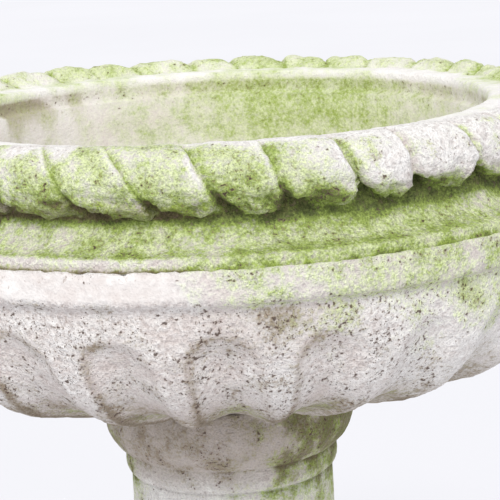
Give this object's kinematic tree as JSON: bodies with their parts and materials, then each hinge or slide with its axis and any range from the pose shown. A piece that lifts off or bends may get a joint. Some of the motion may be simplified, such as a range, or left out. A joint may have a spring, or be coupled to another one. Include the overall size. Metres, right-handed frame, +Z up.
{
  "type": "bird bath",
  "caption": "Fluted cast-stone bird bath bowl with a rope rim, lifted onto a round column and a square plinth; turns and lifts off, with a pull-out drain bung.",
  "frame": {"origin": "centre of the plinth's underside, on the ground", "axes": "+Z up along the axis of the column and bowl; -Y is the front; the plinth's sides are square to X and Y"},
  "size_m": [0.5, 0.4998, 0.72],
  "materials": {
    "bowl_stone": "weathered cast stone with green algae",
    "column_stone": "weathered cast stone",
    "plinth_stone": "weathered cast stone",
    "bar_steel": "mill-scaled reinforcing bar",
    "wire_steel": "galvanised wire",
    "dowel_steel": "stainless bar",
    "sleeve_plastic": "matte",
    "bung_rubber": "satin",
    "ring_rubber": "matte, dusty grey",
    "mortar": "rough",
    "grout": "rough"
  },
  "bodies": {
    "stand": {"plinth": "plinth_stone", "plinth_bars": "bar_steel", "mortar_bed": "mortar", "foot_dowels": "dowel_steel", "dowel_grout": "grout", "column": "column_stone", "column_bars": "bar_steel", "column_ties": "wire_steel"},
    "seat": {"seat_ring": "ring_rubber"},
    "bowl": {"bowl": "bowl_stone", "bowl_rim_hoop": "bar_steel", "bowl_base_hoop": "bar_steel", "bowl_ribs": "wire_steel", "drain_sleeve": "sleeve_plastic"},
    "bung": {"drain_bung": "bung_rubber"}
  },
  "joints": [
    {"name": "bowl_turn", "type": "hinge", "parent": "stand", "child": "seat", "pos_m": [0, 0, 0.521], "axis": [0, 0, 1], "continuous": true},
    {"name": "bowl_lift", "type": "slide", "parent": "seat", "child": "bowl", "axis": [0, 0, 1], "range_m": [0, 0.12]},
    {"name": "bung_pull", "type": "slide", "parent": "bowl", "child": "bung", "axis": [0, 0, 1], "range_m": [0, 0.05]}
  ]
}
